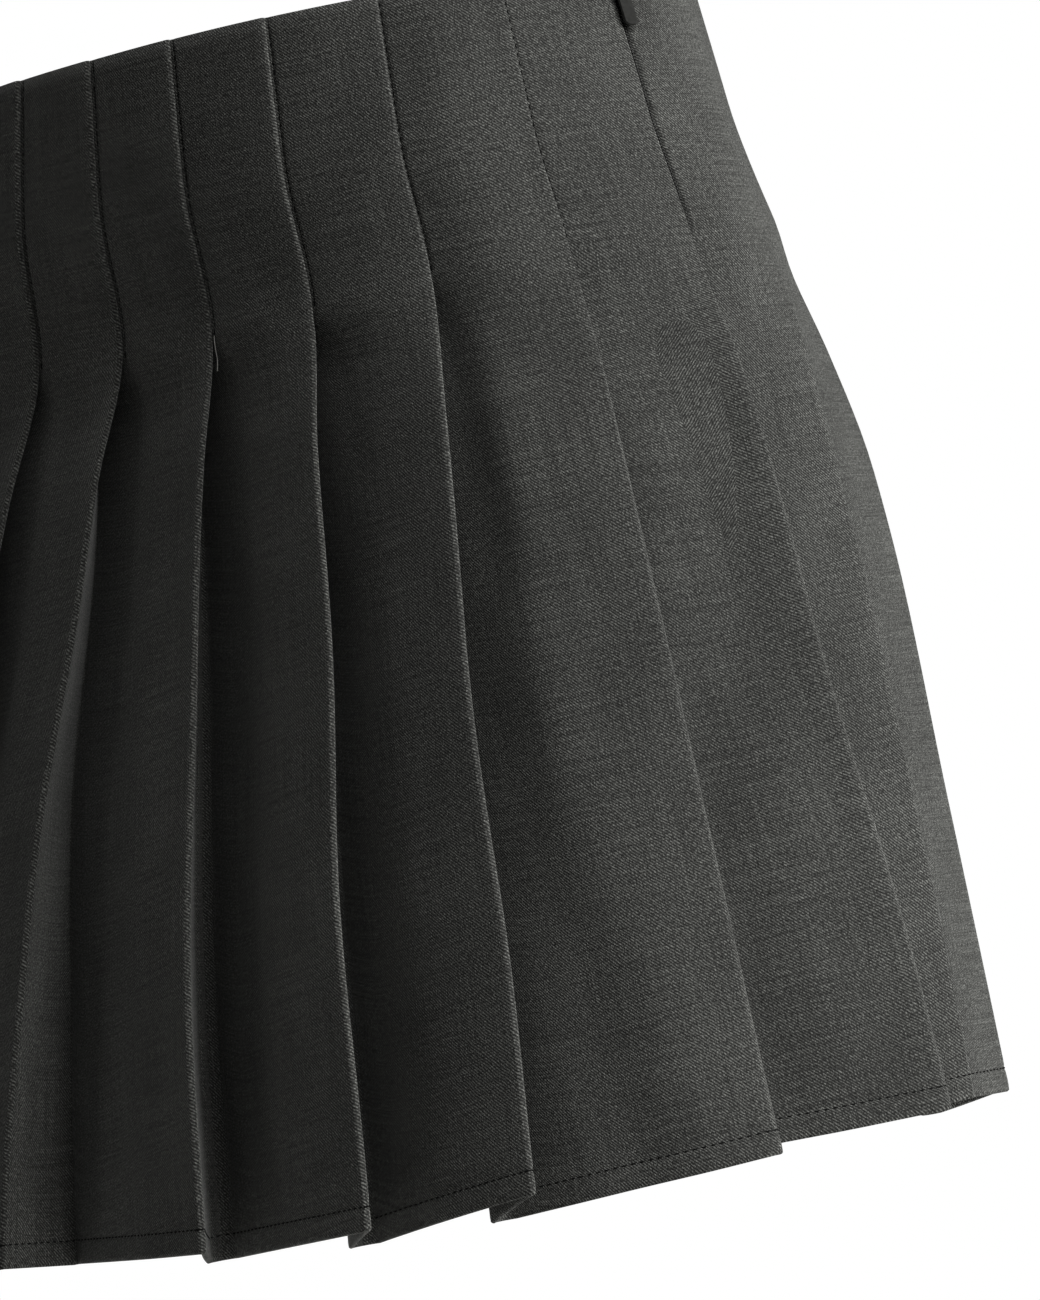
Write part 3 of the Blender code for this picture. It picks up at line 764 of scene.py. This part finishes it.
def worsted_wool_twill():
    """Charcoal worsted wool twill, woven from yarns spun of dark and pale wool and then pressed.

    The eye sees fine diagonal ribs from upper left to lower right, a grey fleck where pale fibres
    come up, faint upright and level streaks where a yarn is thicker, and a soft dry surface. The
    real ribs are 0.6 mm apart. They are drawn 0.8 mm apart, so that they still show.
    """
    made, tree, shader = blank_material("charcoal_worsted_wool_twill")
    rib = 1.15                  # from one rib to the next along a level thread, mm
    thread = 0.30               # one yarn, mm
    flat = node(tree, "ShaderNodeUVMap", {"uv_map": "flat_cloth"})
    in_mm = node(tree, "ShaderNodeVectorMath", {"operation": "SCALE"}, {0: flat.outputs[0]},
                 {"Scale": 1 / MM})
    axes = node(tree, "ShaderNodeSeparateXYZ", links={0: in_mm.outputs[0]})
    across, down = axes.outputs[0], axes.outputs[1]

    # A slow wander keeps the ribs from being ruled lines
    wander = node(tree, "ShaderNodeTexNoise", {"noise_dimensions": "2D"}, {"Vector": in_mm.outputs[0]},
                  {"Scale": 0.16, "Detail": 1.0})
    slant = node(tree, "ShaderNodeMath", {"operation": "ADD"}, {0: across, 1: down})
    shifted = node(tree, "ShaderNodeMath", {"operation": "MULTIPLY_ADD"},
                   {0: wander.outputs["Fac"], 2: slant.outputs[0]}, {1: 1.1})
    turn = node(tree, "ShaderNodeMath", {"operation": "MULTIPLY"}, {0: shifted.outputs[0]},
                {1: 2 * math.pi / rib})
    wave = node(tree, "ShaderNodeMath", {"operation": "SINE"}, {0: turn.outputs[0]})
    over = node(tree, "ShaderNodeMapRange", {"interpolation_type": "SMOOTHSTEP"},
                {"Value": wave.outputs[0]}, {"From Min": -0.8, "From Max": 0.8})

    # Upright and level yarns, each with its own run of pale and dark wool
    def yarn(name, stretch_across, stretch_down, detail):
        run = node(tree, "ShaderNodeMapping", links={"Vector": in_mm.outputs[0]},
                   values={"Scale": (1 / stretch_across, 1 / stretch_down, 1.0)})
        shade = node(tree, "ShaderNodeTexNoise", {"noise_dimensions": "2D", "label": name},
                     {"Vector": run.outputs[0]}, {"Scale": 1.0, "Detail": detail, "Roughness": 0.7})
        return shade.outputs["Fac"]

    upright = yarn("upright yarns", thread * 1.5, 1.9, 2.0)
    level = yarn("level yarns", 2.2, thread * 1.5, 2.0)
    fleck = yarn("flecks of pale wool", 0.62, 0.62, 3.0)
    slub_upright = yarn("thick upright yarns", 0.5, 45.0, 1.0)
    slub_level = yarn("thick level yarns", 42.0, 0.42, 1.0)
    cloud = yarn("uneven pressing", 55.0, 70.0, 2.0)

    woven = node(tree, "ShaderNodeMix", {"data_type": "FLOAT"},
                 {"Factor": over.outputs[0], "A": level, "B": upright})
    added = node(tree, "ShaderNodeMath", {"operation": "MULTIPLY"},
                 {0: woven.outputs["Result"]}, {1: 0.64})
    for source, weight in ((fleck, 0.52), (slub_level, 0.19), (slub_upright, 0.15),
                           (over.outputs[0], 0.20), (cloud, 0.10)):
        added = node(tree, "ShaderNodeMath", {"operation": "MULTIPLY_ADD"},
                     {0: source, 2: added.outputs[0]}, {1: weight})
    tone = node(tree, "ShaderNodeMapRange", links={"Value": added.outputs[0]},
                values={"From Min": 0.605, "From Max": 1.195})
    colour = node(tree, "ShaderNodeValToRGB", links={"Fac": tone.outputs[0]})
    ramp = colour.color_ramp
    ramp.elements[0].color = linear("#1a1a19")
    ramp.elements[1].color = linear("#939490")
    middle = ramp.elements.new(0.5)
    middle.color = linear("#464644")
    tree.links.new(colour.outputs["Color"], shader.inputs["Base Color"])

    relief = node(tree, "ShaderNodeMath", {"operation": "MULTIPLY_ADD"},
                  {0: over.outputs[0], 2: fleck}, {1: 0.9})
    bump = node(tree, "ShaderNodeBump", links={"Height": relief.outputs[0]},
                values={"Strength": 0.6, "Distance": 0.14 * MM})
    tree.links.new(bump.outputs["Normal"], shader.inputs["Normal"])
    shader.inputs["Roughness"].default_value = 0.86
    shader.inputs["Diffuse Roughness"].default_value = 1.0
    shader.inputs["Specular IOR Level"].default_value = 0.25
    shader.inputs["Sheen Weight"].default_value = 0.10
    shader.inputs["Sheen Roughness"].default_value = 0.45
    return made


def spun_polyester_thread(name, dark, pale):
    """Spun polyester sewing thread: a dull twisted line, with fine darker specks along it painted in as
    the shade between its plies.
    """
    made, tree, shader = blank_material(name)
    place = node(tree, "ShaderNodeTexCoord")
    # Random darker specks along the thread: painted shade between its plies
    painted_ply_shade = node(tree, "ShaderNodeTexNoise", links={"Vector": place.outputs["Object"]},
                 values={"Scale": 2600.0, "Detail": 1.0})
    colour = node(tree, "ShaderNodeValToRGB", links={"Fac": painted_ply_shade.outputs["Fac"]})
    colour.color_ramp.elements[0].color = linear(dark)
    colour.color_ramp.elements[1].color = linear(pale)
    tree.links.new(colour.outputs["Color"], shader.inputs["Base Color"])
    shader.inputs["Roughness"].default_value = 0.8
    shader.inputs["Specular IOR Level"].default_value = 0.15
    return made


def nylon_coil():
    """Nylon monofilament, wound hot into a coil and dyed black: smooth, with a dull gleam."""
    made, tree, shader = blank_material("black_nylon_monofilament")
    place = node(tree, "ShaderNodeTexCoord")
    dye = node(tree, "ShaderNodeTexNoise", links={"Vector": place.outputs["Object"]},
               values={"Scale": 700.0, "Detail": 2.0})
    colour = node(tree, "ShaderNodeValToRGB", links={"Fac": dye.outputs["Fac"]})
    colour.color_ramp.elements[0].color = linear("#1c1c1c")
    colour.color_ramp.elements[1].color = linear("#40403e")
    tree.links.new(colour.outputs["Color"], shader.inputs["Base Color"])
    shader.inputs["Roughness"].default_value = 0.42
    shader.inputs["IOR"].default_value = 1.53
    return made


def enamelled_zinc():
    """Zinc die casting with baked enamel, in charcoal: satin, a little uneven at its soft edges."""
    made, tree, shader = blank_material("charcoal_enamelled_zinc")
    place = node(tree, "ShaderNodeTexCoord")
    orange_peel = node(tree, "ShaderNodeTexNoise", links={"Vector": place.outputs["Object"]},
                       values={"Scale": 900.0, "Detail": 2.0})
    colour = node(tree, "ShaderNodeValToRGB", links={"Fac": orange_peel.outputs["Fac"]})
    colour.color_ramp.elements[0].color = linear("#2b2b2a")
    colour.color_ramp.elements[1].color = linear("#3c3c3a")
    tree.links.new(colour.outputs["Color"], shader.inputs["Base Color"])
    gloss = node(tree, "ShaderNodeMapRange", links={"Value": orange_peel.outputs["Fac"]},
                 values={"To Min": 0.28, "To Max": 0.42})
    tree.links.new(gloss.outputs[0], shader.inputs["Roughness"])
    bump = node(tree, "ShaderNodeBump", links={"Height": orange_peel.outputs["Fac"]},
                values={"Strength": 0.15, "Distance": 0.05 * MM})
    tree.links.new(bump.outputs["Normal"], shader.inputs["Normal"])
    shader.inputs["Coat Weight"].default_value = 0.1
    return made


def studio_floor():
    """A painted studio floor: pale matt emulsion with a very faint cloudiness."""
    made, tree, shader = blank_material("pale_matt_emulsion")
    place = node(tree, "ShaderNodeTexCoord")
    cloud = node(tree, "ShaderNodeTexNoise", links={"Vector": place.outputs["Object"]},
                 values={"Scale": 1.5, "Detail": 2.0})
    colour = node(tree, "ShaderNodeValToRGB", links={"Fac": cloud.outputs["Fac"]})
    colour.color_ramp.elements[0].color = linear("#e6e6e4")
    colour.color_ramp.elements[1].color = linear("#eeeeec")
    tree.links.new(colour.outputs["Color"], shader.inputs["Base Color"])
    shader.inputs["Roughness"].default_value = 0.9
    return made


# ---------------------------------------------------------------- studio

CAMERA_PLACE = (2445.7, -2013.4, -730.2)
CAMERA_AIM = (69.0, 25.4, -204.1)
CAMERA_LENS = 278.4
FLOOR_DROP = 1000.0
FLOOR_SIZE = 4000.0
AMBIENT = 0.004

# Soft boxes round the skirt: azimuth, distance, height, width, length and power in watts
LIGHT_AIM = (0, 15, -190)
SOFT_BOXES = (
    ("side_box", 102, 3130, 475, 1100, 1100, 104),
    ("high_side_box", 80, 2451, 1867, 1100, 1100, 71),
    ("front_fill", -40, 3188, 89, 1100, 1100, 9),
    ("back_fill", 236, 3188, 200, 1300, 1300, 90),
)


def place_on_circle(azimuth, distance, height):
    """A place round the skirt. Azimuth 0 is its front and 90 the wearer's left."""
    turn = math.radians(azimuth)
    return Vector((math.sin(turn) * distance, -math.cos(turn) * distance, height)) * MM


def soft_box(name, azimuth, distance, height, width, length, power):
    """A square of soft light that faces the middle of the skirt."""
    light = bpy.data.lights.new(name, "AREA")
    light.shape = "RECTANGLE"
    light.size, light.size_y = width * MM, length * MM
    light.energy = power
    made = bpy.data.objects.new(name, light)
    made.location = place_on_circle(azimuth, distance, height)
    middle = Vector(LIGHT_AIM) * MM
    made.rotation_euler = (middle - made.location).to_track_quat("-Z", "Y").to_euler()
    bpy.context.scene.collection.objects.link(made)


def studio():
    """White behind the skirt for the camera, four soft boxes, the floor and the camera."""
    scene = bpy.context.scene
    scene.view_settings.view_transform = "Standard"
    scene.view_settings.gamma = 0.8
    world = bpy.data.worlds.new("studio")
    world.use_nodes = True
    scene.world = world
    tree = world.node_tree
    tree.nodes.clear()
    seen = node(tree, "ShaderNodeBackground", values={"Color": linear("#ffffff"), "Strength": 1.0})
    around = node(tree, "ShaderNodeBackground", values={"Color": linear("#fbfdff"), "Strength": AMBIENT})
    path = node(tree, "ShaderNodeLightPath")
    mixed = node(tree, "ShaderNodeMixShader", links={0: path.outputs["Is Camera Ray"],
                                                      1: around.outputs[0], 2: seen.outputs[0]})
    node(tree, "ShaderNodeOutputWorld", links={"Surface": mixed.outputs[0]})

    for row in SOFT_BOXES:
        soft_box(*row)

    bpy.ops.object.select_all(action="DESELECT")
    bpy.ops.mesh.primitive_plane_add(size=FLOOR_SIZE * MM, location=(0, 0, -FLOOR_DROP * MM))
    floor = bpy.context.active_object
    floor.name = "studio_floor"
    floor.data.materials.append(studio_floor())

    camera = bpy.data.cameras.new("camera")
    camera.lens = CAMERA_LENS
    camera.sensor_width = 36
    camera.clip_start, camera.clip_end = 0.1, 100
    holder = bpy.data.objects.new("camera", camera)
    holder.location = Vector(CAMERA_PLACE) * MM
    way = (Vector(CAMERA_AIM) - Vector(CAMERA_PLACE)).normalized()
    holder.rotation_euler = way.to_track_quat("-Z", "Y").to_euler()
    scene.collection.objects.link(holder)
    scene.camera = holder


# ---------------------------------------------------------------- the skirt

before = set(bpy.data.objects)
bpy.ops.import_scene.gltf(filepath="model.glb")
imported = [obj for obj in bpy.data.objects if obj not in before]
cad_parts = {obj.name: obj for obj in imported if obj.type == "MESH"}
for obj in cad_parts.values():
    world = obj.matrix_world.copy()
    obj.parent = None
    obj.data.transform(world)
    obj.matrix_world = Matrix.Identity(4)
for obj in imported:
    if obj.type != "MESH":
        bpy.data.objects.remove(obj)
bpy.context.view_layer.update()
studio()

twill = worsted_wool_twill()
# The sewing thread is near black, darker than the charcoal cloth: partly its real colour, partly painted
# shade, so that the stitches in the ditches beside the folds and the zip's tape read as the dark lines
# of shade in those grooves
thread = spun_polyester_thread("near_black_thread_and_painted_groove_shade", "#060606", "#181817")
# The loose end is the end of the black sewing thread, coloured pale grey: a painted highlight along it
tail_painted_highlight = spun_polyester_thread("loose_thread_painted_highlight", "#7c7c78", "#a8a8a4")
left, right = SIDE_FOLDS
cloth = {
    "front": cloth_panel("front_cloth", right, left + PLEATS, twill),
    "back": cloth_panel("back_cloth", left, right, twill),
}
for side, first in (("front", right), ("back", left)):
    last = first + PLEATS // 2
    hem = repeated(side + "_hem_stitches", one_stitch(thread), hem_stitch_frames(first, last))
    seams = repeated(side + "_pleat_stitches", one_stitch(thread), pleat_stitch_frames(first, last))
    if side == "front":
        tail = loose_thread(tail_painted_highlight)
        select_only(seams)
        tail.select_set(True)
        bpy.ops.object.join()
    for piece in (cloth[side], hem, seams):
        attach(piece, "skirt")
    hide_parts(side + "_panel")

chain = zip_chain(nylon_coil(), thread)
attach(chain, "skirt")
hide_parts("zip_coil")

enamel = enamelled_zinc()
for name in ("zip_slider", "zip_pull"):
    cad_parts[name].data.materials.clear()
    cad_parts[name].data.materials.append(enamel)
